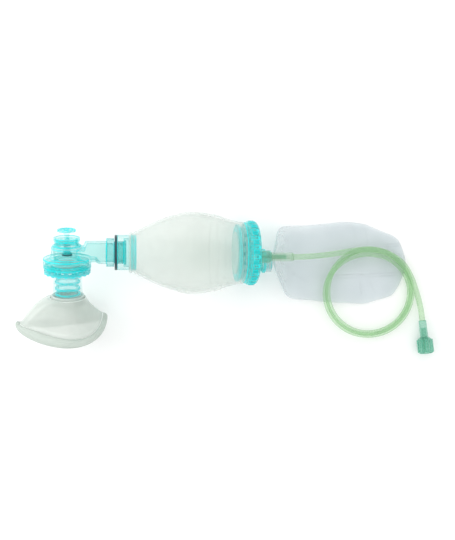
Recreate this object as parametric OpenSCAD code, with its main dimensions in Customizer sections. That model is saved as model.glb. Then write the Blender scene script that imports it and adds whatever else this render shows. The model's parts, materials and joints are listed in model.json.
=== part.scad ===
// Infant bag valve mask, lying on a table with its oxygen tube in a loose coil.
// The bag's axis runs from the patient valve down to the rear ring. The valve's axis crosses it at a
// right angle and carries the relief valve at one end and the mask at the other.

/* [Pose on the table] */
// Downward tilt of the bag's axis from the valve to the rear, degrees
bag_tilt = 8.3; // [7.5:0.1:9]
// Rise of the relief knob's end of the valve's axis, degrees
valve_roll = 15; // [13:0.5:17]
// Height above the table of the point where the two axes cross
crossing_z = 45.9; // [45:0.1:48]

/* [Patient valve] */
// Radius of the patient valve's round housing
housing_r = 18; // [17:0.5:19]
// Distance from the crossing down to the housing's top face
housing_top = 4.8; // [4.5:0.1:5]
// Height of the housing's drum
drum_h = 6.4; // [6:0.1:7]
// Outside radius of the side tube that leads to the bag
side_tube_r = 8.75; // [8.5:0.05:9]
// Length of the side tube from the crossing to its swivel collar
side_tube_end = 29.5; // [28:0.5:31]
// Outside radius of the swivel collar
swivel_r = 10.9; // [10.5:0.1:11.5]

/* [Patient connector] */
// Radius of the bore that takes a tracheal tube's connector
port_bore_r = 7.5; // [7.4:0.05:7.6]
// Outside radius of the sleeve that takes the mask
sleeve_r = 11; // [10.9:0.05:11.1]
// Distance from the crossing to the sleeve's free end
sleeve_end = 40.5; // [39:0.5:41]

/* [Relief valve] */
// Height of the cap's rim above the crossing
cap_top = 11.4; // [10:0.1:12]
// Outside radius of the relief valve's clear cap
cap_r = 9.75; // [9.5:0.05:10]
// Radius of the scalloped knob
knob_r = 7; // [6.5:0.1:7.5]
// Height of the knob's top face above the crossing
knob_top = 17.8; // [17:0.1:18.5]
// Number of petals round the knob
knob_petals = 11; // [9:1:13]

/* [Mask] */
// Length of the mask from nose to chin
mask_length = 71; // [68:0.5:73]
// Half width of the mask at the cheeks
mask_half_width = 25.6; // [25:0.1:26]
// Wall thickness of the dome
dome_wall = 1.3; // [1:0.1:1.6]

/* [Squeeze bag] */
// Largest radius of the squeeze bag
bag_r = 31.8; // [31.5:0.1:32]
// Wall thickness of the squeeze bag
bag_wall = 1.6; // [1.2:0.1:1.8]
// Radius of the bag's front neck
bag_neck_r = 15.4; // [15.2:0.1:15.8]
// Radius of the bag's rear mouth
bag_mouth_r = 22.6; // [22.5:0.1:22.7]

/* [Rear valve] */
// Radius of the knurled retaining ring at the tips of its lobes
ring_r = 25.3; // [25:0.05:25.4]
// Number of lobes round the retaining ring
ring_lobes = 20; // [18:1:22]
// Radius of the reservoir port
port_r = 8.1; // [8:0.05:8.2]

/* [Oxygen tube] */
// Outside diameter of the oxygen tube
tube_d = 4.5; // [4:0.1:4.6]
// Radius of the coil at the middle of its turns
coil_r = 34.3; // [34:0.1:34.6]

/* [Hidden] */
$fn = 72;
gap = 0.3;       // clearance between pieces that turn or slide past each other
hair = 0.1;      // clearance between flat faces that lie against each other
over = 1;        // how far a cutting shape runs past the face it cuts

crossing = [-112.8, 19.9, crossing_z];

// Stations along the bag's axis, from the crossing to the rear
collar_start = 37.6;
collar_end = 52;
neck_start = 46.4;
belly = 97;
mouth_start = 134.6;
mouth_end = 139.5;
cover_start = 141.8;
cover_back = 146.2;
nipple_end = 155.6;
cuff_end = 173.5;

// Places on the rear cover, as [up, aside] from the bag's axis
nipple_place = [8.2, 3.2];
port_place = [-6, 6.2];
intake_place = [4.6, -12.6];
vent_place = [-9.6, -9.6];

// Depths along the valve's axis, from the crossing towards the mask
drum_bottom = housing_top + drum_h;
base_flange = 4.2;   // thickness of the base's flange
base_bottom = drum_bottom + base_flange;
port_end = 33;
port_stop = 17;      // where the tracheal tube's connector comes to rest
port_stop_r = 6.9;
mask_ring_top = 33.4;
mask_ring_end = 41;

// Places a piece drawn along +Z on the bag's axis. +X is then up and +Y is aside, towards the mask.
module on_bag_axis(along = 0, place = [0, 0]) {
    translate(crossing) rotate([0, 90 + bag_tilt, 0]) rotate([0, 0, 180])
        translate([place[0], place[1], along]) children();
}

// Places a piece drawn along +Z on the valve's axis, towards the knob. +X is towards the bag.
module on_valve_axis(along = 0) {
    translate(crossing) rotate([valve_roll - 90, bag_tilt, 0]) translate([0, 0, along]) children();
}

// A round tube along Z.
module pipe(r_out, r_in, from, to) {
    difference() {
        translate([0, 0, from]) cylinder(r = r_out, h = to - from);
        translate([0, 0, from - over]) cylinder(r = r_in, h = to - from + 2 * over);
    }
}

// A solid drum along Z.
module drum(r, from, to) {
    translate([0, 0, from]) cylinder(r = r, h = to - from);
}

// Copies of a shape round the Z axis.
module around(count) {
    for (i = [0 : count - 1]) rotate([0, 0, i * 360 / count]) children();
}

function bezier(p, t) =
    pow(1 - t, 3) * p[0] + 3 * pow(1 - t, 2) * t * p[1] + 3 * (1 - t) * t * t * p[2] + pow(t, 3) * p[3];

function curve(p, steps) = [for (i = [0 : steps]) bezier(p, i / steps)];

// ---- squeeze bag ----

// The bag's side from neck to mouth, as [radius, station], drawn in by inset.
function bag_side(inset, steps) = concat(
    curve([
        [bag_neck_r - inset, 50], [22 - inset, 62], [bag_r - inset, 80], [bag_r - inset, belly]
    ], steps),
    curve([
        [bag_r - inset, belly + 0.5], [bag_r - inset, 107], [27.2 - inset, 118], [24.4 - inset, 131]
    ], steps)
);

module squeeze_bag() {
    color("honeydew", 0.6) on_bag_axis() rotate_extrude() polygon(concat(
        [[13.5, neck_start], [bag_neck_r - 0.2, neck_start]],
        bag_side(0, 12),
        [
            [24.2, mouth_start - 0.4], [bag_mouth_r, mouth_start + 0.2], [bag_mouth_r, mouth_end],
            [bag_mouth_r - bag_wall, mouth_end], [bag_mouth_r - bag_wall, mouth_start],
            [22.7, mouth_start - 1.4]
        ],
        [for (i = [25 : -1 : 0]) bag_side(bag_wall, 12)[i]],
        [[14.2, 49.6], [14.2, 47.6], [13.5, 47.6]]
    ));
}

// Teal socket that the bag's neck grips and the valve's spigot turns in.
module bag_neck_collar() {
    spigot_room = 8.4 + gap;
    color("turquoise", 0.7) on_bag_axis() {
        difference() {
            union() {
                drum(13.4, collar_start, collar_end);
                for (barb = [48.4, 50.2]) drum(14, barb, barb + 0.9);
            }
            drum(spigot_room, collar_start - over, collar_end + over);
            drum(11, 42.4, collar_end + over);
        }
    }
}

module neck_seal_ring() {
    color("darkslategray") on_bag_axis() pipe(13.5, 9.3, collar_start - 1.9, collar_start);
}

// ---- patient valve ----

// Collar and spigot glued in the side tube's end; the bead keeps the spigot in the bag's socket.
module swivel_collar() {
    color("mediumturquoise", 0.7) on_bag_axis() {
        difference() {
            union() {
                drum(swivel_r, side_tube_end, side_tube_end + 5.8);
                drum(8.4, side_tube_end, 44.4);
                drum(9.3, 42.8, 44.4);
            }
            drum(7.2, side_tube_end - over, 44.4 + over);
        }
    }
}

// Side view of the side tube: its closed end slopes from the neck's ledge up to the tube's top, and
// its underside is cut flat over the drum. Each cut is moved in by wall for the bore.
module side_tube_outline(wall) {
    polygon([
        [0, -6.2 + wall], [21.9 - wall / 2, -6.2 + wall], [25 - wall / 2, -9.2 + wall],
        [side_tube_end + (wall > 0 ? over : 0), -9.2 + wall],
        [side_tube_end + (wall > 0 ? over : 0), 9.2], [14.3 + wall, 9.2],
        [11.7 + wall, 3.9 - wall], [0, 3.9 - wall]
    ]);
}

module side_tube_shape(r, wall) {
    intersection() {
        rotate([0, 90, 0]) cylinder(r = r, h = side_tube_end + (wall > 0 ? over : 0));
        rotate([90, 0, 0]) linear_extrude(height = 40, center = true) side_tube_outline(wall);
    }
}

module valve_housing() {
    wall = 1.5;
    color("paleturquoise", 0.7) on_valve_axis() {
        difference() {
            union() {
                drum(housing_r, -drum_bottom, -housing_top);
                drum(housing_r - 0.6, -drum_bottom, -housing_top + 0.4);
                translate([0, 0, -housing_top]) cylinder(r1 = 12.8, r2 = 11.3, h = housing_top + 3.2);
                drum(11.7, 3.2, 3.9);
                side_tube_shape(side_tube_r, 0);
            }
            drum(housing_r - wall, -drum_bottom - over, -housing_top - wall);
            drum(9.2, -housing_top - wall - over, -housing_top + over);
            drum(10, -housing_top - 0.2, 3.9 + over);
            side_tube_shape(7.2, 1.4);
        }
        pipe(10.6, 9.2, -housing_top - wall - 0.9, -housing_top - wall + 0.1);
    }
}

// Lower half of the valve: rim with catches, exhaling slots, the seat under the lip valve, and the
// inner tube with its three centring ribs.
module valve_base() {
    color("darkturquoise", 0.8) on_valve_axis() {
        difference() {
            union() {
                drum(housing_r - 0.5, -base_bottom, -drum_bottom);
                pipe(housing_r - 1.7, housing_r - 2.9, -drum_bottom - 0.1, -drum_bottom + 1.8);
                drum(9, -base_bottom, -9.7);
                drum(port_bore_r + 1.1, -port_end, -base_bottom);
                for (rib = [22.3, 27.7, port_end - 0.9]) drum(9.6, -rib - 0.9, -rib);
                around(20) translate([housing_r - 2.4, -0.9, -base_bottom - 0.7])
                    cube([1.7, 1.8, 0.9]);
            }
            drum(port_bore_r, -port_end - over, -port_stop);
            drum(port_stop_r, -port_stop - over, -9.7 + over);
            around(12) translate([10.4, -1.6, -base_bottom - over])
                cube([4.2, 3.2, base_flange + 2 * over]);
        }
    }
}

// Silicone disc with a slit cone. The disc lifts off its seat to let breath out.
module lip_valve() {
    color("lightyellow", 0.7) on_valve_axis() {
        difference() {
            union() {
                drum(11.2, -9.5, -8.6);
                translate([0, 0, -14.5]) cylinder(r1 = 2.4, r2 = 5.8, h = 5.1);
            }
            translate([0, 0, -13.6]) cylinder(r1 = 1.8, r2 = 5.2, h = 5.1);
            translate([-3, -0.2, -14.5 - over]) cube([6, 0.4, 2 + over]);
        }
    }
}

// Clear sleeve that turns on the inner tube and takes the mask.
module connector_sleeve() {
    color("azure", 0.5) on_valve_axis() {
        difference() {
            drum(sleeve_r, -sleeve_end, -base_bottom - 1);
            drum(port_bore_r + 1.1 + gap, -sleeve_end - over, -base_bottom - 1 + over);
            drum(sleeve_r - 1.1, -sleeve_end - over, -base_bottom - 3.4);
        }
    }
}

// ---- relief valve ----

// Cup let into the housing's neck, with the seat in its floor.
module relief_seat_cup() {
    color("azure", 0.6) on_valve_axis() {
        pipe(11.4, 6.9, 3.9, 4.7);
        pipe(7.3, 6.3, -2.3, 3.95);
        pipe(7.3, 2.6, -3.1, -2.3);
    }
}

// Clear cap over the relief valve. Its bridge guides the stem, and its tabs lock the knob down.
module relief_cap() {
    color("lightcyan", 0.7) on_valve_axis() {
        pipe(cap_r - 0.4, cap_r - 1.3, 5.4, 9.4);
        pipe(cap_r, cap_r - 1.3, 9.3, cap_top);
        pipe(10.7, 8.2, 4.7, 5.5);
        difference() {
            drum(cap_r - 1.05, 7.5, 8.4);
            drum(1.6 + gap, 7, 9);
            around(4) rotate([0, 0, 45]) translate([5.2, 0, 7]) cylinder(r = 1.7, h = 2);
        }
        around(4) translate([6.2, -1.2, 8.35]) cube([2.2, 2.4, 0.9]);
    }
}

module relief_poppet() {
    color("darkturquoise") on_valve_axis() {
        drum(3.4, -1.1, -0.3);
        pipe(2, 1.6 + hair, -0.35, 1.4);
    }
}

module relief_seal() {
    color("darkslategray") on_valve_axis() drum(3.9, -2.2, -1.1);
}

// Coil spring between the poppet and the cap's bridge.
module relief_spring() {
    turns = 5;
    steps = 12 * turns;
    bottom = -0.05;
    rise = 7.2;
    color("silver") on_valve_axis() sweep([for (i = [0 : steps])
        [2.75 * cos(360 * turns * i / steps), 2.75 * sin(360 * turns * i / steps),
            bottom + rise * i / steps]
    ], 0.25, 6);
}

// Scalloped knob with its stem.
module relief_knob() {
    color("aquamarine", 0.8) on_valve_axis() {
        drum(1.6, -0.2, knob_top - 1);
        translate([0, 0, knob_top - 5]) cylinder(r1 = 1.6, r2 = 2.7, h = 3.6);
        difference() {
            union() {
                drum(knob_r - 1, knob_top - 1.6, knob_top);
                around(knob_petals) translate([knob_r - 1.5, 0, knob_top - 1.6])
                    cylinder(r = 1.5, h = 1.6);
            }
            pipe(knob_r - 1.8, 1.9, knob_top - 0.7, knob_top + over);
        }
    }
}

module stem_grommet() {
    color("darkslategray") on_valve_axis() pipe(2.3, 1.6, 2.3, 3.3);
}

// ---- mask ----

// The mask's plan is drawn by an angle: 0 at the chin, 180 at the nose, 90 at a cheek. side is +1 or -1.
function cheek(angle) = pow(abs(sin(angle)), cos(angle) > 0 ? 0.93 : 0.75);
function rim_point(angle, inset) = [
    -5 + (mask_length / 2 - 0.2 - inset) * cos(angle),
    sign(sin(angle)) * cheek(angle) * (mask_half_width - inset) * (1 + 0.5 * cos(angle)),
    -53.9 + 2 * cos(angle) - 13 * abs(sin(angle)) * (1 + 0.185 * cos(angle))
];
function seam_point(angle) =
    rim_point(angle, 3.8)
    + [0, 0, 1.3 + 2 * cos(angle) + abs(sin(angle)) * (4.1 - 5 * cos(angle))];

// One meridian of the dome, from the connector ring out to the seam, as a quadratic curve.
function dome_point(angle, t, inset) =
    let (
        from = [(13.5 - inset) * cos(angle), (13.5 - inset) * sin(angle), -35.2 - inset],
        to = seam_point(angle) - [inset * cos(angle), inset * sin(angle), 0.4 * inset],
        out = 0.13 - 0.1 * cos(angle) + 0.4 * pow(sin(angle), 2),
        down = 0.25 + 0.24 * cos(angle),
        bend = [
            from[0] + (to[0] - from[0]) * out, from[1] + (to[1] - from[1]) * out,
            from[2] + (to[2] - from[2]) * down
        ]
    )
    pow(1 - t, 2) * from + 2 * t * (1 - t) * bend + t * t * to;

function dome_section(angle, steps) = concat(
    [for (i = [0 : steps]) dome_point(angle, i / steps, 0)],
    [for (i = [steps : -1 : 0]) dome_point(angle, i / steps, dome_wall)]
);

// Section of the soft rim: a flattened roll from the seam out to the face side.
function cushion_section(angle, sides) =
    let (
        a = seam_point(angle), b = rim_point(angle, 0.8), middle = (a + b) / 2,
        reach = (b - a) / 2 * 1.15, outward = cross(cross([0, 0, 1], reach), reach),
        thick = outward / norm(outward) * 1.7
    )
    [for (i = [0 : sides - 1])
        middle + reach * cos(360 * i / sides) + thick * sin(360 * i / sides)];

// Skin of a ring of closed sections, each joined to the next and the last to the first.
module ring_loft(sections) {
    rings = len(sections);
    sides = len(sections[0]);
    polyhedron(
        points = [for (section = sections) each section],
        faces = [for (i = [0 : rings - 1], j = [0 : sides - 1])
            let (
                a = i * sides + j, b = i * sides + (j + 1) % sides,
                c = ((i + 1) % rings) * sides + (j + 1) % sides, d = ((i + 1) % rings) * sides + j
            )
            each [[a, c, b], [a, d, c]]],
        convexity = 8
    );
}

module mask_connector_ring() {
    color("white", 0.5) on_valve_axis() pipe(12.3, sleeve_r + 0.05, -mask_ring_end, -mask_ring_top);
}

module mask_dome() {
    color("white", 0.4) on_valve_axis()
        ring_loft([for (i = [0 : 59]) dome_section(i * 6 + 0.5, 8)]);
}

module mask_cushion() {
    color("whitesmoke", 0.6) on_valve_axis()
        ring_loft([for (i = [0 : 59]) cushion_section(i * 6 + 0.5, 10)]);
}

// ---- rear valve ----

// Holes of a small valve window, with the middle one for the disc's stem.
module window_holes(from, to) {
    drum(1.1, from, to);
    around(5) translate([3, 0, from]) cylinder(r = 1, h = to - from);
}

// Cup in the bag's mouth that carries the intake valve.
module inlet_valve_body() {
    skirt_r = bag_mouth_r - bag_wall;
    color("paleturquoise", 0.6) on_bag_axis() {
        difference() {
            union() {
                drum(22.5, 129.5, 131);
                drum(skirt_r, 131, mouth_end);
                drum(22.9, mouth_end, 141);
            }
            drum(skirt_r - 1.4, 131, 141 + over);
            drum(2, 129, 132);
            around(8) translate([11.8, 0, 129]) cylinder(r = 3.2, h = 3);
        }
        pipe(9, 7.8, 131, 133.4);
    }
}

// Mushroom-shaped flap: a thin disc on the bag's side, with its stem through the valve plate.
module intake_valve_disc() {
    color("white", 0.7) on_bag_axis() {
        drum(16.6, 128.4, 129.4);
        drum(1.7, 129.3, 133.6);
        translate([0, 0, 132.7]) cylinder(r1 = 2.6, r2 = 1.4, h = 1.4);
    }
}

// Union ring with rounded lobes for grip.
module retaining_ring() {
    color("darkturquoise", 0.8) on_bag_axis() {
        difference() {
            union() {
                drum(24, 135.6, 137.5);
                drum(24.6, 137.4, 144);
                around(ring_lobes) translate([ring_r - 2.4, 0, 137.4]) cylinder(r = 2.4, h = 6.6);
                translate([0, 0, 144]) cylinder(r1 = 24.6, r2 = 22, h = 1.9);
            }
            drum(bag_mouth_r + 0.6, 135.6 - over, 144.2);
            drum(20.5, 144, 146 + over);
        }
    }
}

module cover_gasket() {
    color("gainsboro") on_bag_axis() pipe(22.6, 19.8, 141, cover_start);
}

// Clear cover with the oxygen nipple's seat, the reservoir's port and two small valve windows.
module rear_cover() {
    color("lightcyan", 0.6) on_bag_axis() {
        difference() {
            union() {
                drum(22.9, cover_start, 143.9);
                drum(20.1, 143.8, cover_back);
            }
            drum(18.9, cover_start - over, 144.6);
            translate([nipple_place[0], nipple_place[1], 0]) drum(1.6, 144, cover_back + over);
            translate([port_place[0], port_place[1], 0]) drum(port_r, 144, cover_back + over);
            for (place = [intake_place, vent_place])
                translate([place[0], place[1], 0]) window_holes(144, cover_back + over);
        }
    }
}

// Small mushroom valve, drawn with its disc on top of the plate.
module mushroom_valve() {
    drum(4.6, 0, 0.8);
    drum(0.8, -3.2, 0.1);
    translate([0, 0, -4]) cylinder(r1 = 0.8, r2 = 1.5, h = 0.9);
}

module reservoir_intake_disc() {
    color("white", 0.8) on_bag_axis(144.6 - hair, intake_place) mirror([0, 0, 1]) mushroom_valve();
}

module reservoir_vent_disc() {
    color("white", 0.8) on_bag_axis(cover_back + hair, vent_place) mushroom_valve();
}

// ---- reservoir ----

module reservoir_port() {
    color("lightcyan", 0.6) on_bag_axis(0, port_place) pipe(port_r, 7.1, 144.6, 158);
}

module reservoir_clamp_ring() {
    color("turquoise") on_bag_axis(0, port_place) pipe(9.5, port_r, 151.6, 153.2);
}

// Film bag with little gas in it: its neck grips the port, and the pouch lies flat on the table.
// Sections across the pouch, as [x, lowest y, highest y, lowest z, highest z].
pouch_sections = [
    [48, 1, 27, 6.4, 23.4], [52, -8, 34, 3.2, 19], [56, -14.5, 39.8, 1, 14.4], [62, -16.7, 41.8, 0.2, 10.4],
    [75, -18.1, 43, 0.2, 7.6], [90, -19.8, 44.3, 0.2, 6], [105, -20.4, 45.7, 0.2, 5.1],
    [120, -20.9, 44, 0.2, 4.1], [130, -18.2, 40, 0.2, 3.4], [138, -16, 36.8, 0.2, 2.9],
    [144, -12.9, 34.3, 0.2, 2.6], [149, -5.1, 29.9, 0.2, 2.3], [152.5, 2.7, 21, 0.2, 2],
    [154.4, 6.3, 14.8, 0.4, 1.7]
];
neck_wall = 0.6;

module reservoir_neck() {
    color("aliceblue", 0.6) on_bag_axis(0, port_place) pipe(port_r + neck_wall, port_r, 153.3, 158.2);
}

// Point on the bag's axis frame at a station, moved up and aside from the axis.
function bag_axis_point(along, up, aside) = crossing
    + along * [cos(bag_tilt), 0, -sin(bag_tilt)] + up * [sin(bag_tilt), 0, cos(bag_tilt)]
    + aside * [0, -1, 0];

function flattened(value) = sign(value) * pow(abs(value), 0.8);
function pouch_ring(section, sides) = [for (i = [0 : sides - 1])
    let (a = 360 * i / sides)
    [
        section[0],
        (section[1] + section[2]) / 2 - (section[2] - section[1]) / 2 * flattened(cos(a)),
        (section[3] + section[4]) / 2 + (section[4] - section[3]) / 2 * flattened(sin(a))
    ]];
function neck_end_ring(sides) = [for (i = [0 : sides - 1])
    let (a = 360 * i / sides, r = port_r + neck_wall)
    bag_axis_point(158.2, port_place[0] + r * sin(a), port_place[1] + r * cos(a))];

module reservoir_bag() {
    sides = 28;
    color("aliceblue", 0.6) skin(concat(
        [neck_end_ring(sides)],
        [for (section = pouch_sections) pouch_ring(section, sides)]
    ));
}

// ---- oxygen tube ----

// A round tube along points; its rings are square to the route.
function route_tangent(points, i) =
    points[min(i + 1, len(points) - 1)] - points[max(i - 1, 0)];
function route_ring(points, i, r, sides) =
    let (
        along = route_tangent(points, i), aside = cross(along, [0, 0, 1]),
        a = aside / norm(aside), up = cross(a, along), b = up / norm(up)
    )
    [for (k = [0 : sides - 1]) points[i] + r * (a * cos(360 * k / sides) + b * sin(360 * k / sides))];

// Skin over a row of closed rings, with both ends capped.
module skin(rings) {
    last = len(rings) - 1;
    sides = len(rings[0]);
    polyhedron(
        points = [for (ring = rings) each ring],
        faces = concat(
            [[for (k = [0 : sides - 1]) k]],
            [for (i = [0 : last - 1], k = [0 : sides - 1])
                let (a = i * sides + k, b = i * sides + (k + 1) % sides)
                each [[a, a + sides, b + sides], [a, b + sides, b]]],
            [[for (k = [sides - 1 : -1 : 0]) last * sides + k]]
        ),
        convexity = 8
    );
}

module sweep(points, r, sides) {
    skin([for (i = [0 : len(points) - 1]) route_ring(points, i, r, sides)]);
}

// A smooth route through points, with steps rings between each pair.
function smooth_route(p, steps) = concat(
    [for (i = [0 : len(p) - 2], k = [0 : steps - 1])
        let (
            t = k / steps, before = p[max(i - 1, 0)], from = p[i], to = p[i + 1],
            after = p[min(i + 2, len(p) - 1)]
        )
        0.5 * (2 * from + (to - before) * t + (2 * before - 5 * from + 4 * to - after) * t * t
            + (3 * from - before - 3 * to + after) * t * t * t)],
    [p[len(p) - 1]]
);

// The tube's route from the cuff down to the coil, and from the coil to the end connector.
lead_route = [
    [60.07, 16.7, 28.97], [66.2, 16.8, 27.9], [73.2, 17.2, 26], [81.2, 17.9, 22.9], [89.2, 18.8, 19.4],
    [97.2, 20, 16.4], [105.2, 21.4, 14.4], [113.2, 22.5, 13.2], [121.2, 23.1, 12.6]
];
tail_route = [
    [148.2, 14.5, 6], [152.2, 10.5, 5.4], [156.2, 4.5, 4.6], [159.6, -2.5, 4.2],
    [162.2, -10.5, 4.2], [164.4, -18.5, 4.8], [165.8, -26.5, 5.9], [166.6, -34.5, 6.7]
];
coil_place = [122.5, -11.4, 3.9];
coil_tilt = [3.6, 4, 0];
coil_width = 6.6;
coil_height = 9;

module tube_cuff() {
    color("palegreen", 0.8) on_bag_axis(0, nipple_place) {
        pipe(3.4, 1.9, nipple_end, cuff_end - 2);
        drum(3.4, cuff_end - 2.1, cuff_end);
    }
}

// Green barrel pressed in the cover, with the barb that the cuff is pushed on.
module oxygen_inlet_fitting() {
    color("mediumaquamarine", 0.8) on_bag_axis(0, nipple_place) {
        difference() {
            union() {
                drum(4.8, cover_back, nipple_end - 1.2);
                translate([0, 0, nipple_end - 1.2]) cylinder(r1 = 4.8, r2 = 3.8, h = 1.2);
                drum(1.9, nipple_end - over, nipple_end + 12);
                drum(1.6, 144.6, cover_back + over);
            }
            drum(1.1, 144, nipple_end + 13);
        }
    }
}

module oxygen_tube_lead() {
    color("darkseagreen") sweep(smooth_route(lead_route, 2), tube_d / 2, 10);
}

module oxygen_tube_coil() {
    half = coil_width / 2;
    round = 2;
    color("darkseagreen") translate(coil_place) rotate(coil_tilt) rotate_extrude() polygon(concat(
        [for (a = [0 : 30 : 90])
            [coil_r + half - round + round * cos(a), coil_height - round + round * sin(a)]],
        [for (a = [90 : 30 : 180])
            [coil_r - half + round + round * cos(a), coil_height - round + round * sin(a)]],
        [for (a = [180 : 30 : 270]) [coil_r - half + round + round * cos(a), round + round * sin(a)]],
        [for (a = [270 : 30 : 360]) [coil_r + half - round + round * cos(a), round + round * sin(a)]]
    ));
}

module oxygen_tube_tail() {
    color("darkseagreen") sweep(smooth_route(tail_route, 2), tube_d / 2, 10);
}

// Places a piece drawn along +Z on the end connector's axis, from the tube outwards.
module on_connector() {
    translate(tail_route[len(tail_route) - 1]) rotate([90, 0, 6.6]) children();
}

module tube_connector_stem() {
    color("mediumaquamarine", 0.8) on_connector() {
        difference() {
            union() {
                cylinder(r1 = 3, r2 = 3.2, h = 15);
                drum(3.2, 15, 17);
            }
            drum(2, 6, 17 + over);
        }
    }
}

// Hub with eight grip ribs and the socket for a flowmeter's barb.
module tube_connector_hub() {
    color("mediumaquamarine", 0.8) on_connector() {
        difference() {
            union() {
                drum(5.3, 15, 26.4);
                translate([0, 0, 13.8]) cylinder(r1 = 4, r2 = 5.3, h = 1.3);
                around(8) translate([0, -0.9, 15.6]) cube([6.4, 1.8, 10]);
            }
            drum(3.2, 12, 17.1);
            drum(3, 17, 26.4 + over);
        }
    }
}

squeeze_bag();
bag_neck_collar();
neck_seal_ring();
swivel_collar();
valve_housing();
valve_base();
lip_valve();
connector_sleeve();
relief_seat_cup();
relief_cap();
relief_poppet();
relief_seal();
relief_spring();
relief_knob();
stem_grommet();
mask_connector_ring();
mask_dome();
mask_cushion();
inlet_valve_body();
intake_valve_disc();
retaining_ring();
cover_gasket();
rear_cover();
reservoir_intake_disc();
reservoir_vent_disc();
reservoir_port();
reservoir_clamp_ring();
reservoir_neck();
reservoir_bag();
oxygen_inlet_fitting();
tube_cuff();
oxygen_tube_lead();
oxygen_tube_coil();
oxygen_tube_tail();
tube_connector_stem();
tube_connector_hub();
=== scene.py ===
import json
import math

import bpy
from mathutils import Matrix, Vector, noise


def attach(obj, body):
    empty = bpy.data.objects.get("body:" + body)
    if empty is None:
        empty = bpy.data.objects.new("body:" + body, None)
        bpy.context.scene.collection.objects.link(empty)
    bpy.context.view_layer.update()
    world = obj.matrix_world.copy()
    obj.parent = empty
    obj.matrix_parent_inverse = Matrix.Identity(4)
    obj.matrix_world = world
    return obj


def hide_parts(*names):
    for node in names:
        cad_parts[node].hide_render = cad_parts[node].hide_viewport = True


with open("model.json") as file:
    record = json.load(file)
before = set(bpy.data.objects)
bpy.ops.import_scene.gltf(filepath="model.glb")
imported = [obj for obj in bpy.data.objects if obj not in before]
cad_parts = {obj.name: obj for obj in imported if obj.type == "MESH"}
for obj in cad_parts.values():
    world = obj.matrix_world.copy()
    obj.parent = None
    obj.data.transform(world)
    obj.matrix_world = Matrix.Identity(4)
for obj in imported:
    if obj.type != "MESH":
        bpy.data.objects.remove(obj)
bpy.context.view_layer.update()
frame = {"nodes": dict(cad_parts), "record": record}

# Lengths in this script are in millimetres until a piece's mesh is placed.
MM = 0.001

joints = {j["name"]: j for j in frame["record"]["behaviour"]["joints"]}
BAG_AXIS = Vector(joints["head_swivel"]["axis"]).normalized()
VALVE_AXIS = Vector(joints["mask_swivel"]["axis"]).normalized()
SWIVEL_STATION = 40
CROSSING = Vector(joints["head_swivel"]["pos_m"]) / MM - SWIVEL_STATION * BAG_AXIS


def axis_frame(along, first, origin):
    """Frame with +Z along a piece's axis and +X along first."""
    z = along.normalized()
    x = (first - first.dot(z) * z).normalized()
    turn = Matrix((x, z.cross(x), z)).transposed().to_4x4()
    return Matrix.Translation(origin) @ turn


TABLE_FRAME = Matrix.Identity(4)
BAG_FRAME = axis_frame(BAG_AXIS, Vector((0, 0, 1)), CROSSING)
VALVE_FRAME = axis_frame(VALVE_AXIS, BAG_AXIS, CROSSING)
NIPPLE_PLACE = (8.2, 3.2)
PORT_PLACE = (-6, 6.2)


def beside(base, place):
    return base @ Matrix.Translation((place[0], place[1], 0))


# ---- camera ----

CAMERA_PLACE = (0.0087, 0.0065, 0.6)
bpy.ops.object.camera_add(location=CAMERA_PLACE, rotation=(0, 0, 0))
camera = bpy.context.object
camera.name = "camera"
camera.data.lens = 48.8
camera.data.sensor_width = 36
bpy.context.scene.camera = camera


# ---- making pieces ----

def deselect():
    if bpy.context.object and bpy.context.object.mode != "OBJECT":
        bpy.ops.object.mode_set(mode="OBJECT")
    bpy.ops.object.select_all(action="DESELECT")


def edit(piece):
    deselect()
    bpy.context.view_layer.objects.active = piece
    piece.select_set(True)
    bpy.ops.object.mode_set(mode="EDIT")
    bpy.ops.mesh.select_all(action="SELECT")


def weld(piece, gap=0.004):
    """Closes seams and poles, and turns every face outwards."""
    edit(piece)
    bpy.ops.mesh.remove_doubles(threshold=gap)
    bpy.ops.mesh.normals_make_consistent(inside=False)
    bpy.ops.object.mode_set(mode="OBJECT")


def apply_modifier(piece, kind, **settings):
    modifier = piece.modifiers.new(kind.lower(), kind)
    for key, value in settings.items():
        setattr(modifier, key, value)
    deselect()
    bpy.context.view_layer.objects.active = piece
    piece.select_set(True)
    bpy.ops.object.modifier_apply(modifier=modifier.name)


def settle(piece, base=TABLE_FRAME, smooth=40):
    """Puts a piece drawn in millimetres into its place in its mesh, in metres."""
    deselect()
    piece.data.transform(Matrix.Scale(MM, 4) @ base)
    piece.matrix_world = Matrix.Identity(4)
    piece.select_set(True)
    bpy.context.view_layer.objects.active = piece
    bpy.ops.object.shade_smooth_by_angle(angle=math.radians(smooth))
    return piece


def moulded(name, columns, rows, shape):
    """Shapes a flat grid into a surface: shape(u, v) is a point, with u and v from 0 to 1."""
    deselect()
    bpy.ops.mesh.primitive_grid_add(x_subdivisions=columns, y_subdivisions=rows, size=1)
    piece = bpy.context.object
    piece.name = name
    for vertex in piece.data.vertices:
        vertex.co = shape(vertex.co.x + 0.5, vertex.co.y + 0.5)
    return piece


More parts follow.
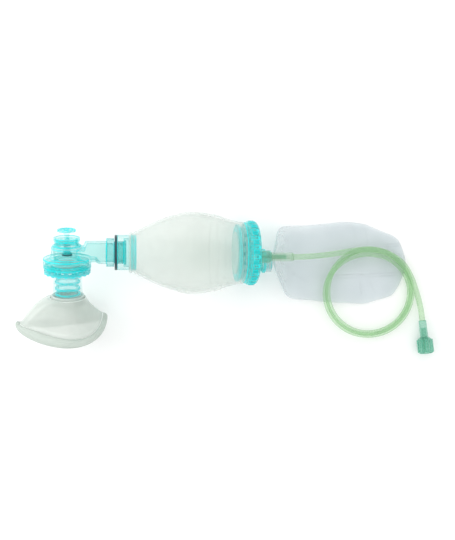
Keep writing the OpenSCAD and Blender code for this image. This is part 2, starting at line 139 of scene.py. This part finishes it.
def turned(name, section, base, steps=96, smooth=40):
    """Spins a closed section, as (radius, height) points, round the frame's Z axis."""
    deselect()
    bpy.ops.mesh.primitive_plane_add(size=1)
    piece = bpy.context.object
    piece.name = name
    bpy.ops.object.mode_set(mode="EDIT")
    bpy.ops.mesh.select_all(action="SELECT")
    bpy.ops.mesh.merge(type="CENTER")
    bpy.ops.transform.translate(value=(section[0][0], 0, section[0][1]))
    for here, there in zip(section, section[1:] + section[:1]):
        bpy.ops.mesh.extrude_region_move(
            TRANSFORM_OT_translate={"value": (there[0] - here[0], 0, there[1] - here[1])}
        )
    bpy.ops.mesh.select_all(action="SELECT")
    bpy.ops.mesh.spin(steps=steps, angle=math.tau, center=(0, 0, 0), axis=(0, 0, 1))
    bpy.ops.object.mode_set(mode="OBJECT")
    weld(piece)
    return settle(piece, base, smooth)


def bezier(points, t):
    a, b, c, d = (Vector(p) for p in points)
    return (1 - t) ** 3 * a + 3 * (1 - t) ** 2 * t * b + 3 * (1 - t) * t * t * c + t ** 3 * d


def curve_points(points, steps):
    return [tuple(bezier(points, i / steps)) for i in range(steps + 1)]


def ramp(value, low, high):
    """0 below low, 1 above high, and a smooth rise between."""
    t = min(max((value - low) / (high - low), 0), 1)
    return t * t * (3 - 2 * t)


def rounded_section(inner, outer, low, high, r, steps=4):
    """Section of a ring with rounded corners, as (radius, height) points."""
    corners = [
        (outer - r, high - r, 0), (inner + r, high - r, 90),
        (inner + r, low + r, 180), (outer - r, low + r, 270),
    ]
    return [
        (x + r * math.cos(math.radians(start + 90 * i / steps)),
         y + r * math.sin(math.radians(start + 90 * i / steps)))
        for x, y, start in corners
        for i in range(steps + 1)
    ]


# ---- oxygen tube ----

TUBE_D = 4.5
CUFF_END = 173.5
NIPPLE_END = 155.6
COIL_CENTRE = (122.5, -11.4)
LEAD_ROUTE = [
    (60.07, 16.7, 28.97), (66.2, 16.8, 27.9), (73.2, 17.2, 26), (81.2, 17.9, 22.9),
    (89.2, 18.8, 19.4), (97.2, 20, 16.4), (105.2, 21.4, 14.4), (113.2, 22.5, 13.2),
]
TAIL_ROUTE = [
    (148.2, 14.5, 6), (152.2, 10.5, 5.4), (156.2, 4.5, 4.6), (159.6, -2.5, 4.2),
    (162.2, -10.5, 4.2), (164.4, -18.5, 4.8), (165.8, -26.5, 5.9), (166.6, -34.5, 6.7),
]
# Radius and height of the strand's middle at each quarter turn, clockwise from the top.
COIL_TURNS = [
    (34.6, 6.6), (35.1, 6.6), (34.7, 6.6), (35.2, 6.4), (30.9, 4.5),
    (34.8, 2.3), (33.4, 2.3), (33, 2.3), (34.8, 2.3),
]
QUARTER_STEPS = 7


def catmull(points, t):
    """Smooth value through a list, at t counted in its steps."""
    i = min(int(t), len(points) - 2)
    t -= i
    before, here = Vector(points[max(i - 1, 0)]), Vector(points[i])
    there, after = Vector(points[i + 1]), Vector(points[min(i + 2, len(points) - 1)])
    return 0.5 * (
        2 * here + (there - before) * t + (2 * before - 5 * here + 4 * there - after) * t * t
        + (3 * here - before - 3 * there + after) * t ** 3
    )


def coil_point(quarters):
    radius, height = catmull(COIL_TURNS, quarters)
    angle = math.pi / 2 * (1 - quarters)
    x, y = radius * math.cos(angle), radius * math.sin(angle)
    return (COIL_CENTRE[0] + x, COIL_CENTRE[1] + y, 3.9 - 0.07 * x + 0.063 * y + height)


def tube_points():
    turns = [coil_point(i / QUARTER_STEPS) for i in range(8 * QUARTER_STEPS + 1)]
    bridge = (COIL_CENTRE[0] + 14.2, COIL_CENTRE[1] + 32.6, 7)
    return LEAD_ROUTE + turns + [bridge] + TAIL_ROUTE


def oxygen_tube():
    points = tube_points()
    steps = [catmull(points, i / 2) for i in range(2 * (len(points) - 1) + 1)]
    data = bpy.data.curves.new("oxygen_tube", "CURVE")
    data.dimensions = "3D"
    data.bevel_depth = TUBE_D / 2 * MM
    data.bevel_resolution = 6
    data.use_fill_caps = True
    spline = data.splines.new("POLY")
    spline.points.add(len(steps) - 1)
    for point, place in zip(spline.points, steps):
        point.co = (*(place * MM), 1)
    tube = bpy.data.objects.new("oxygen_tube", data)
    bpy.context.collection.objects.link(tube)
    deselect()
    tube.select_set(True)
    bpy.context.view_layer.objects.active = tube
    bpy.ops.object.convert(target="MESH")
    tube = bpy.context.object
    tube.name = "oxygen_tube"
    weld(tube, 0.000001)
    length = sum((a - b).length for a, b in zip(steps, steps[1:])) * MM
    deselect()
    bpy.context.view_layer.objects.active = tube
    tube.select_set(True)
    bpy.ops.object.shade_smooth_by_angle(angle=math.radians(60))
    return tube, length, [tuple(step * MM) for step in steps]


tube, tube_length, tube_path = oxygen_tube()

# Soft cuff pushed over the nipple, with a raised band round its middle and a lip at each end.
cuff = turned("tube_cuff_sleeve", [
    (1.95, NIPPLE_END + 0.2), (3.15, NIPPLE_END), (3.5, NIPPLE_END + 0.4), (3.4, NIPPLE_END + 1.4),
    (3.35, 164.2), (3.5, 164.6), (3.5, 165.4), (3.4, 165.8), (3.4, CUFF_END - 0.9),
    (3.15, CUFF_END - 0.1), (2.35, CUFF_END), (2.3, CUFF_END - 2), (1.95, CUFF_END - 2.2),
], beside(BAG_FRAME, NIPPLE_PLACE), 48)

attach(tube, "bag")
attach(cuff, "bag")
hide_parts("oxygen_tube_lead", "oxygen_tube_coil", "oxygen_tube_tail")
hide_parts("tube_cuff")


# ---- squeeze bag ----

NECK_R, BELLY_R, MOUTH_R, WALL = 15.4, 31.8, 22.6, 1.6


def neck_ripple(radius, station):
    """The neck's skin rises and falls over the barbs of the socket inside it."""
    fade = ramp(station, 46, 47.5) * (1 - ramp(station, 54, 61))
    return radius + fade * 0.38 * math.sin((station - 47) * math.tau / 3.3)


def mould_band(station):
    """Low moulded bands round the belly."""
    return (
        0.35 * ramp(station, 84, 84.7) * (1 - ramp(station, 93.4, 94.1))
        + 0.6 * ramp(station, 111.5, 112.3) * (1 - ramp(station, 117, 117.8))
    )


def bag_section():
    side = curve_points(
        [(NECK_R, 50, 0), (22, 62, 0), (BELLY_R, 80, 0), (BELLY_R, 97, 0)], 120
    ) + curve_points(
        [(BELLY_R, 97.5, 0), (BELLY_R, 107, 0), (27.2, 118, 0), (24.4, 131, 0)], 100
    )
    neck = [(NECK_R - 0.1, s) for s in (46.6, 47.2, 47.9, 48.6, 49.3)]
    outer = [
        (neck_ripple(r, s) + mould_band(s), s) for r, s in neck + [(p[0], p[1]) for p in side]
    ]
    inner = [(p[0] - WALL, p[1]) for p in reversed(side)]
    return (
        [(13.5, 46.4), (NECK_R - 0.4, 46.4)] + outer
        + [(24.2, 134.2), (MOUTH_R + 0.5, 134.8), (MOUTH_R, 135.4), (MOUTH_R, 139.5)]
        + [(MOUTH_R - WALL, 139.5), (MOUTH_R - WALL, 134.6), (22.7, 133.2)]
        + inner + [(14.2, 49.6), (14.2, 47.6), (13.5, 47.6)]
    )


bag = turned("bag_skin", bag_section(), BAG_FRAME, 128, 50)
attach(bag, "bag")
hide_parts("squeeze_bag")


# ---- face mask ----

MASK_LENGTH, MASK_HALF_WIDTH, DOME_WALL = 71, 25.6, 1.3
# Height of the rim's middle, and how far its cheeks fall below that.
RIM_HEIGHT, CHEEK_DROP = -53.9, 13
COLLAR_TOP_R, COLLAR_TOP_HEIGHT = 13.5, -35.2


def rim_point(angle, inset):
    c, s = math.cos(angle), math.sin(angle)
    return Vector((
        -5 + (MASK_LENGTH / 2 - 0.2 - inset) * c,
        math.copysign(abs(s) ** (0.93 if c > 0 else 0.75), s)
        * (MASK_HALF_WIDTH - inset) * (1 + 0.5 * c),
        RIM_HEIGHT + 2 * c - CHEEK_DROP * abs(s) * (1 + 0.185 * c),
    ))


def seam_point(angle):
    c, s = math.cos(angle), abs(math.sin(angle))
    return rim_point(angle, 3.8) + Vector((0, 0, 1.3 + 2 * c + s * (4.1 - 5 * c)))


def dome_point(angle, t, inset):
    c, s = math.cos(angle), math.sin(angle)
    r = COLLAR_TOP_R - inset
    start = Vector((r * c, r * s, COLLAR_TOP_HEIGHT - inset))
    end = seam_point(angle) - Vector((inset * c, inset * s, 0.4 * inset))
    out, down = 0.3 - 0.12 * c + 0.3 * s * s, 0.19 + 0.19 * c
    bend = Vector((
        start.x + (end.x - start.x) * out,
        start.y + (end.y - start.y) * out,
        start.z + (end.z - start.z) * down,
    ))
    point = (1 - t) ** 2 * start + 2 * t * (1 - t) * bend + t * t * end
    # Shallow panel pressed into the chin's upper side, and a bead at the seam.
    panel = math.exp(-((angle - 5.55) / 0.36) ** 4 - ((t - 0.42) / 0.3) ** 4)
    bead = math.exp(-((t - 0.97) / 0.03) ** 2) if inset == 0 else 0
    away = Vector((c, s, 0.5)).normalized()
    return point + away * (0.6 * bead - 0.7 * panel)


def mask_dome_shape(u, v):
    """Closed wall of the dome: out along its outside, and back along its inside."""
    angle = math.tau * (u % 1) + 0.0001
    v = (v % 1) * 2
    return dome_point(angle, v, 0) if v <= 1 else dome_point(angle, 2 - v, DOME_WALL)


def mask_rim_shape(u, v):
    """Soft roll from the seam out to the face side, fuller on its outside."""
    angle = math.tau * (u % 1) + 0.0001
    a, b = seam_point(angle), rim_point(angle, 0.8)
    reach = (b - a) / 2 * 1.15
    outward = Vector((0, 0, 1)).cross(reach).cross(reach)
    thick = outward.normalized() * 1.7
    turn = math.tau * (v % 1)
    round_off = 1 + 0.06 * math.cos(2 * turn)
    return (a + b) / 2 + reach * math.cos(turn) * round_off + thick * math.sin(turn)


def mask_piece(name, shape, node, columns, rows):
    piece = moulded(name, columns, rows, shape)
    weld(piece)
    settle(piece, VALVE_FRAME, 60)
    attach(piece, "mask")
    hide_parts(node)
    return piece


def seam_bead_shape(u, v):
    """Thin raised line where the dome is bonded to the soft rim."""
    angle, turn = math.tau * (u % 1) + 0.0001, math.tau * (v % 1)
    along = seam_point(angle + 0.01) - seam_point(angle - 0.01)
    side = along.cross(Vector((0, 0, 1))).normalized()
    rise = side.cross(along).normalized()
    middle = seam_point(angle) - side * 0.3 + Vector((0, 0, 0.35))
    return middle + side * 0.55 * math.cos(turn) + rise * 0.55 * math.sin(turn)


dome = mask_piece("mask_shell", mask_dome_shape, "mask_dome", 180, 56)
rim = mask_piece("mask_soft_rim", mask_rim_shape, "mask_cushion", 180, 20)
seam_bead = mask_piece("mask_seam_bead", seam_bead_shape, "mask_dome", 180, 10)

collar = turned("mask_collar", rounded_section(11.05, 12.5, -41, -33.4, 0.6), VALVE_FRAME)
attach(collar, "mask")
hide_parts("mask_connector_ring")


# ---- retaining ring ----

LOBES = 20
# Size of a pad in and out, round the ring and along it, and the middle of the first one.
PAD_SIZE = (0.9, 3.1, 4.2)
PAD_PLACE = (24.85, 0, 141.3)


def ring_shape(u, v):
    """Closed section of the ring: out along its front, over its lobes and back inside."""
    angle = math.tau * (u % 1)
    rows = [
        (23.3, 135.6, 0), (24, 135.8, 0), (24.1, 137.3, 0), (24.3, 137.7, 0.5), (24.5, 138.1, 1),
        (24.55, 140, 1), (24.55, 142.4, 1), (24.4, 143.5, 1), (24, 144.4, 0.9), (22.6, 145.6, 0.4),
        (22, 145.9, 0), (20.6, 145.9, 0), (20.5, 144.2, 0), (23.2, 144.2, 0), (23.2, 136, 0),
    ]
    radius, station, share = catmull(rows + rows[:1], (v % 1) * len(rows))
    wave = 0.5 + 0.5 * math.cos(LOBES * angle)
    lobe = ramp(wave, 0.25, 0.55) * 1.4 - 0.9
    radius += share * lobe
    return Vector((radius * math.cos(angle), radius * math.sin(angle), station))


ring = moulded("lobed_ring", 360, 45, ring_shape)
weld(ring)
settle(ring, BAG_FRAME, 60)
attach(ring, "retaining_ring")
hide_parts("retaining_ring")


def grip_pads():
    """Raised pad on each lobe, with softened edges: modelled once, then copied round."""
    deselect()
    bpy.ops.mesh.primitive_cube_add(size=1)
    pad = bpy.context.object
    pad.name = "ring_grip_pads"
    bpy.ops.object.mode_set(mode="EDIT")
    bpy.ops.mesh.select_all(action="SELECT")
    bpy.ops.transform.resize(value=PAD_SIZE)
    bpy.ops.transform.translate(value=PAD_PLACE)
    bpy.ops.object.mode_set(mode="OBJECT")
    apply_modifier(pad, "BEVEL", width=0.3, segments=3)
    pad_faces = len(pad.data.polygons)
    edit(pad)
    for _ in range(1, LOBES):
        bpy.ops.mesh.select_all(action="DESELECT")
        bpy.ops.object.mode_set(mode="OBJECT")
        for face in pad.data.polygons[-pad_faces:]:
            face.select = True
        bpy.ops.object.mode_set(mode="EDIT")
        bpy.ops.mesh.duplicate()
        bpy.ops.transform.rotate(
            value=-math.tau / LOBES, orient_axis="Z", center_override=(0, 0, 0)
        )
    bpy.ops.object.mode_set(mode="OBJECT")
    return settle(pad, BAG_FRAME, 40)


pads = grip_pads()
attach(pads, "retaining_ring")
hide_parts("retaining_ring")


# ---- reservoir bag ----

# Sections of the pouch: x, low and high side in y, low and high side in z.
POUCH_SECTIONS = [
    (47.4, 4, 31, 6.4, 22.4), (48.8, 2, 38, 4.4, 20.4), (52, -5.5, 41, 2.4, 17),
    (56, -13.5, 41.9, 0.8, 13.4), (62, -16.9, 42.3, 0.2, 10.4), (75, -18.1, 43, 0.2, 7.6),
    (90, -19.8, 44.3, 0.2, 6), (105, -20.4, 45.7, 0.2, 5.1), (120, -20.9, 44, 0.2, 4.1),
    (130, -18.2, 40, 0.2, 3.4), (138, -16, 36.8, 0.2, 2.9), (144, -12.9, 34.3, 0.2, 2.6),
    (149, -5.1, 29.9, 0.2, 2.3), (152.5, 2.7, 21, 0.2, 2), (154.4, 6.3, 14.8, 0.4, 1.7),
]
FILM_NECK_R, FILM_NECK_START, FILM_NECK_LENGTH = 8.7, 153.3, 4.9
# Folds in the film: from, to, depth (up is positive) and width.
FOLDS = [
    ((84, 0.5), (150, 3.5), -1.8, 1.2), ((92, 3.4), (128, 4.6), 1.1, 1.6),
    ((134, 26), (151, 27.5), -1.4, 1), ((110, 29), (140, 27.5), -0.9, 1.3),
    ((117.5, -3), (120, -18), -1.4, 1), ((112, 45), (115, 30), -1.2, 1),
    ((119, 42), (122, 30), 0.9, 1), ((62, 4), (76, -3), -1.4, 1.2),
    ((74, -4), (90, -5.5), 1, 1.2), ((80, 43), (78, 30), -0.9, 1.2),
    ((114, 8), (118, 3), 0.9, 0.9), ((104, -17), (106, -6), -0.8, 1.1),
    ((132, -14), (126, -4), -0.8, 1.1), ((92, 40), (104, 28), 0.7, 1.4),
]


def fold_height(x, y):
    total = 0
    for a, b, depth, width in FOLDS:
        ax, ay = x - a[0], y - a[1]
        dx, dy = b[0] - a[0], b[1] - a[1]
        t = min(max((ax * dx + ay * dy) / (dx * dx + dy * dy), -0.15), 1.15)
        apart = math.hypot(ax - t * dx, ay - t * dy)
        ends = ramp(t, -0.15, 0.2) * (1 - ramp(t, 0.8, 1.15))
        total += depth * ends * math.exp(-(apart / width) ** 2)
    return total


def flattened(value):
    return math.copysign(abs(value) ** 0.8, value)


def film_shape(u, v):
    angle = math.tau * (u % 1)
    c, s = flattened(math.cos(angle)), flattened(math.sin(angle))
    t = v * (len(POUCH_SECTIONS) + 2)
    neck = beside(BAG_FRAME, PORT_PLACE)

    def neck_point(station, r):
        return neck @ Vector((r * math.sin(angle), r * math.cos(angle), station))

    if t <= 1:
        r = FILM_NECK_R + 0.25 * math.sin(9 * angle) * t
        return neck_point(FILM_NECK_START + FILM_NECK_LENGTH * t, r)
    t = min(t - 2, len(POUCH_SECTIONS) - 1)
    section = catmull(POUCH_SECTIONS, max(t, 0))
    x, y_low, y_high, z_low, z_high = section
    place = Vector((
        x, (y_low + y_high) / 2 + (y_high - y_low) / 2 * c,
        (z_low + z_high) / 2 + (z_high - z_low) / 2 * s,
    ))
    gathers = (1 - ramp(place.x, 52, 72)) * 0.5 * math.sin(11 * angle + 1)
    if s > 0:
        place.z += s * (fold_height(place.x, place.y) + gathers)
        place.z += s * 0.5 * noise.noise(Vector((place.x / 14, place.y / 14, 3)))
    if t < 0:
        start = neck_point(
            FILM_NECK_START + FILM_NECK_LENGTH, FILM_NECK_R + 0.25 * math.sin(9 * angle)
        )
        share = t + 1
        return start.lerp(place, ramp(share, 0, 1) * 0.5 + share * 0.5)
    return place


def reservoir_pouch():
    pouch = moulded("reservoir_film", 168, 190, film_shape)
    weld(pouch, 0.01)
    return settle(pouch, TABLE_FRAME, 180)


film = reservoir_pouch()
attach(film, "bag")
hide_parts("reservoir_bag", "reservoir_neck")


# ---- finishes ----

class Value:
    """A shader socket that takes part in sums: each sum adds its Math node."""

    def __init__(self, finish, socket):
        self.finish = finish
        self.socket = socket

    def combined(self, operation, *terms):
        settings = {"operation": operation}
        return self.finish.node("ShaderNodeMath", settings, dict(enumerate(terms)))

    def __add__(self, other):
        return self.combined("ADD", self, other)

    def __radd__(self, other):
        return self.combined("ADD", other, self)

    def __sub__(self, other):
        return self.combined("SUBTRACT", self, other)

    def __rsub__(self, other):
        return self.combined("SUBTRACT", other, self)

    def __mul__(self, other):
        return self.combined("MULTIPLY", self, other)

    def __rmul__(self, other):
        return self.combined("MULTIPLY", other, self)

    def __pow__(self, other):
        return self.combined("POWER", self, other)

    def within(self, low, high):
        return self.combined("MINIMUM", self.combined("MAXIMUM", self, low), high)


class Finish:
    """A material and the one way that its nodes are added."""

    def __init__(self, name):
        self.material = bpy.data.materials.new(name)
        self.material.use_nodes = True
        self.tree = self.material.node_tree
        self.tree.nodes.clear()

    def node(self, kind, settings=None, inputs=None, output=0):
        made = self.tree.nodes.new(kind)
        for key, value in (settings or {}).items():
            setattr(made, key, value)
        for key, value in (inputs or {}).items():
            socket = made.inputs[key] if isinstance(key, int) else next(
                s for s in made.inputs if key in (s.identifier, s.name)
            )
            if isinstance(value, Value):
                self.tree.links.new(value.socket, socket)
            else:
                socket.default_value = value
        return Value(self, made.outputs[output] if made.outputs else None)

    def place(self):
        return self.node("ShaderNodeTexCoord", output="Object")

    def grain(self, scale, detail=2.0, roughness=0.5):
        return self.node(
            "ShaderNodeTexNoise", None,
            {"Vector": self.place(), "Scale": scale, "Detail": detail, "Roughness": roughness},
            "Fac",
        )

    def blend(self, share, first, second):
        return self.node(
            "ShaderNodeMix", {"data_type": "RGBA"},
            {"Factor_Float": share, "A_Color": first, "B_Color": second}, 2,
        )

    def bump(self, height, strength, distance):
        return self.node(
            "ShaderNodeBump", None,
            {"Height": height, "Strength": strength, "Distance": distance}, "Normal",
        )

    def between(self, low, high):
        """1 where a place lies between two heights on the valve's axis."""
        height = self.node(
            "ShaderNodeVectorMath", {"operation": "DOT_PRODUCT"},
            {0: self.place(), 1: tuple(VALVE_AXIS)}, "Value",
        )
        start = CROSSING.dot(VALVE_AXIS)
        above = height.combined("GREATER_THAN", height, (start + low) * MM)
        return above * height.combined("LESS_THAN", height, (start + high) * MM)

    def edges(self, width):
        """1 along sharp edges, 0 away from them."""
        rounded = self.node("ShaderNodeBevel", {"samples": 4}, {"Radius": width})
        plain = self.node("ShaderNodeNewGeometry", output="Normal")
        same = self.node(
            "ShaderNodeVectorMath", {"operation": "DOT_PRODUCT"}, {0: rounded, 1: plain}, "Value"
        )
        return ((1 - self.node("ShaderNodeMath", {"operation": "ABSOLUTE"}, {0: same})) * 8).within(
            0, 1)

    def done(self, shader):
        self.node("ShaderNodeOutputMaterial", None, {"Surface": shader})
        return self.material


def colour(red, green, blue):
    """Shader colour of a paint given in 0 to 255."""
    def light(value):
        value /= 255
        return value / 12.92 if value <= 0.04045 else ((value + 0.055) / 1.055) ** 2.4
    return (light(red), light(green), light(blue), 1)


def clear_finish(
    name, face, skin, deep, painted_edge_colour, body, depth, power, line, gloss=0.08, texture=None, band=None
):
    """Clear tinted plastic or silicone: light passes its faces, its outline holds the colour, and a
    painted line of light and shade in the edge colour runs along its sharp edges.

    band gives two heights on the valve's axis, in millimetres, between which the colour is fuller.
    """
    finish = Finish(name)
    facing = finish.node("ShaderNodeLayerWeight", None, {"Blend": 0.5}, "Facing")
    cloud = finish.grain(60, 3)
    # Painted light and shade: the edge colour is laid along sharp edges, with lighter lines as
    # painted highlights and darker lines as painted shade.
    edges = finish.edges(PAINTED_EDGE_WIDTH) * line
    share = body + depth * facing ** power + (cloud - 0.5) * 0.05 + edges
    if band:
        share = share + BAND_FILL * finish.between(*band)
    share = share.within(0.01, 0.98)
    surface = {
        "Base Color": finish.blend(edges, finish.blend(cloud * DEEP_FILL, skin, deep), painted_edge_colour),
        "Roughness": (gloss + cloud * 0.06).within(0.02, 1),
        "IOR": 1.5,
    }
    if texture:
        scale, strength, distance = texture
        surface["Normal"] = finish.bump(finish.grain(scale, 4, 0.6), strength, distance)
    return finish.done(finish.node(
        "ShaderNodeMixShader", None,
        {
            0: share,
            1: finish.node("ShaderNodeBsdfTransparent", None, {"Color": face}),
            2: finish.node("ShaderNodeBsdfPrincipled", None, surface),
        },
    ))


def solid_finish(name, base, shade, roughness, metallic=0.0, texture=(400, 0.15, 0.0002)):
    finish = Finish(name)
    scale, strength, distance = texture
    cloud = finish.grain(90, 3)
    return finish.done(finish.node("ShaderNodeBsdfPrincipled", None, {
        "Base Color": finish.blend(cloud, base, shade),
        "Roughness": (roughness + (cloud - 0.5) * 0.12).within(0.05, 1),
        "Metallic": metallic,
        "Normal": finish.bump(finish.grain(scale, 4, 0.6), strength, distance),
    }))


PAINTED_EDGE_WIDTH = 0.0011
BAND_FILL = 0.45
DEEP_FILL = 0.6
# The middle colour on the next line, and the fourth colour of each clear finish below, is a painted
# edge line: painted highlight on the teal, mask, rim and seam parts, painted shade on the bag,
# clear, cuff, fitting and milky parts.
CYAN, CYAN_EDGE_HIGHLIGHT, DEEP_CYAN = colour(84, 226, 226), colour(0, 232, 235), colour(0, 160, 180)
finishes = {
    "clear_teal": clear_finish(
        "clear_teal", colour(241, 251, 250), CYAN, DEEP_CYAN, CYAN_EDGE_HIGHLIGHT, 0.03, 0.9, 4.5, 1),
    "teal": clear_finish(
        "teal", colour(232, 252, 251), colour(110, 240, 240), colour(0, 214, 220), CYAN_EDGE_HIGHLIGHT,
        0.08, 0.8, 2.6, 1),
    "ring_teal": clear_finish(
        "ring_teal", colour(242, 253, 252), colour(120, 236, 236), colour(0, 196, 206), CYAN_EDGE_HIGHLIGHT,
        0.04, 0.75, 3, 0.9),
    "inlet_teal": clear_finish(
        "inlet_teal", colour(251, 254, 254), colour(70, 226, 226), colour(0, 200, 210), CYAN_EDGE_HIGHLIGHT,
        0.03, 0.9, 2.6, 1),
    "pad_teal": clear_finish(
        "pad_teal", colour(214, 250, 249), colour(40, 226, 226), colour(0, 188, 198), CYAN_EDGE_HIGHLIGHT,
        0.4, 0.55, 2, 0.6),
    "collar_teal": clear_finish(
        "collar_teal", colour(232, 250, 249), colour(70, 208, 208), DEEP_CYAN, CYAN_EDGE_HIGHLIGHT,
        0.1, 0.85, 3, 0.9),
    "base_teal": clear_finish(
        "base_teal", colour(246, 253, 253), CYAN, DEEP_CYAN, CYAN_EDGE_HIGHLIGHT, 0.03, 0.85, 4, 1,
        band=(-15.5, -13.4)),
    "clear": clear_finish(
        "clear", colour(250, 253, 253), colour(228, 246, 247), colour(70, 206, 212),
        colour(150, 232, 234), 0.03, 0.6, 4.5, 0.45),
    "bag": clear_finish(
        "bag_silicone", colour(251, 252, 251), colour(240, 243, 241), colour(186, 198, 191),
        colour(210, 220, 213), 0.08, 0.6, 3, 0.3, 0.24, (900, 0.12, 0.0002)),
    "mask": clear_finish(
        "mask_plastic", colour(244, 247, 244), colour(232, 236, 233), colour(178, 190, 182),
        colour(250, 252, 250), 0.45, 0.45, 3, 0.4, 0.14),
    "rim": clear_finish(
        "rim_plastic", colour(236, 240, 236), colour(214, 222, 216), colour(160, 176, 166),
        colour(248, 250, 248), 0.5, 0.4, 2.6, 0.3, 0.3),
    # The seam bead is near white all over: a painted highlight line along the foot of the dome.
    "seam": clear_finish(
        "seam_painted_highlight", colour(252, 253, 252), colour(253, 255, 253), colour(236, 242, 238),
        colour(253, 255, 253), 0.6, 0.3, 2, 0.2, 0.1),
    "film": clear_finish(
        "reservoir_film", colour(249, 251, 252), colour(240, 244, 245), colour(170, 186, 190),
        colour(196, 208, 211), 0.14, 0.9, 1.5, 0, 0.22, (140, 0.25, 0.0006)),
    "tube": clear_finish(
        "green_tube", colour(240, 249, 238), colour(208, 235, 204), colour(104, 172, 108),
        colour(150, 210, 150), 0.14, 0.8, 2, 0, 0.05),
    "cuff": clear_finish(
        "pale_cuff", colour(246, 250, 246), colour(222, 240, 222), colour(110, 175, 124),
        colour(120, 190, 140), 0.14, 0.7, 2.4, 0.4, 0.12),
    "fitting": clear_finish(
        "green_fitting", colour(226, 244, 237), colour(170, 222, 206), colour(60, 156, 130),
        colour(76, 180, 150), 0.2, 0.6, 2, 0.7, 0.1),
    "milky": clear_finish(
        "milky_silicone", colour(248, 250, 249), colour(236, 243, 240), colour(190, 208, 202),
        colour(216, 232, 228), 0.15, 0.4, 3, 0.2, 0.35),
    "dark": solid_finish("dark_rubber", colour(14, 76, 82), colour(6, 46, 52), 0.35),
    "wire": solid_finish(
        "spring_wire", colour(200, 204, 206), colour(170, 176, 180), 0.25, 1.0, (60, 0.05, 0.0001)),
}

NODE_FINISHES = {
    "clear_teal": [
        "valve_housing", "relief_cap", "rear_cover", "reservoir_port", "bag_neck_collar",
    ],
    "inlet_teal": ["inlet_valve_body"],
    "collar_teal": ["swivel_collar"],
    "teal": ["relief_poppet", "reservoir_clamp_ring"],
    "base_teal": ["valve_base", "relief_knob"],
    "clear": ["connector_sleeve", "relief_seat_cup"],
    "milky": [
        "lip_valve", "intake_valve_disc", "cover_gasket", "reservoir_intake_disc",
        "reservoir_vent_disc",
    ],
    "dark": ["neck_seal_ring", "relief_seal", "stem_grommet"],
    "wire": ["relief_spring"],
    "fitting": ["oxygen_inlet_fitting", "tube_connector_stem", "tube_connector_hub"],
}


def paint(piece, finish):
    piece.data.materials.clear()
    piece.data.materials.append(finishes[finish])


for finish_name, members in NODE_FINISHES.items():
    for member in members:
        paint(frame["nodes"][member], finish_name)
paint(tube, "tube")
paint(cuff, "cuff")
paint(bag, "bag")
paint(dome, "mask")
paint(collar, "mask")
# The seam bead carries the painted highlight finish.
paint(seam_bead, "seam")
paint(rim, "rim")
paint(ring, "ring_teal")
paint(pads, "pad_teal")
paint(film, "film")


# ---- stage ----

def soft_lamp(name, place, aim, size, power):
    bpy.ops.object.light_add(type="AREA", location=place)
    lamp = bpy.context.object
    lamp.name = name
    lamp.data.shape = "RECTANGLE"
    lamp.data.size, lamp.data.size_y = size
    lamp.data.energy = power
    toward = Vector(aim) - Vector(place)
    lamp.rotation_euler = toward.to_track_quat("-Z", "Y").to_euler()


deselect()
bpy.ops.mesh.primitive_plane_add(size=6, location=(0, 0, -0.0002))
table_top = bpy.context.object
table_top.name = "table_top"
table_finish = Finish("table_top")
table_top.data.materials.append(table_finish.done(table_finish.node(
    "ShaderNodeBsdfPrincipled", None,
    {"Base Color": colour(253, 253, 253), "Roughness": 0.9, "Specular IOR Level": 0.1},
)))

soft_lamp("left_lamp", (-0.45, 0.1, 0.55), (0, 0, 0), (0.3, 0.5), 0.7)
soft_lamp("back_lamp", (0.1, 0.6, 0.6), (0, 0, 0), (0.9, 0.2), 0.7)
soft_lamp("top_lamp", (0.3, -0.2, 1.1), (0, 0, 0), (0.4, 0.4), 0.7)
soft_lamp("left_strip", (-0.5, 0.16, 0.14), (-0.12, 0, 0.03), (0.5, 0.06), 0.7)

world = bpy.data.worlds.new("studio")
world.use_nodes = True
world.node_tree.nodes["Background"].inputs["Color"].default_value = (1, 1, 1, 1)
world.node_tree.nodes["Background"].inputs["Strength"].default_value = 0.95
bpy.context.scene.world = world
bpy.context.scene.view_settings.view_transform = "Standard"
bpy.context.scene.cycles.transparent_max_bounces = 64

bpy.context.view_layer.update()
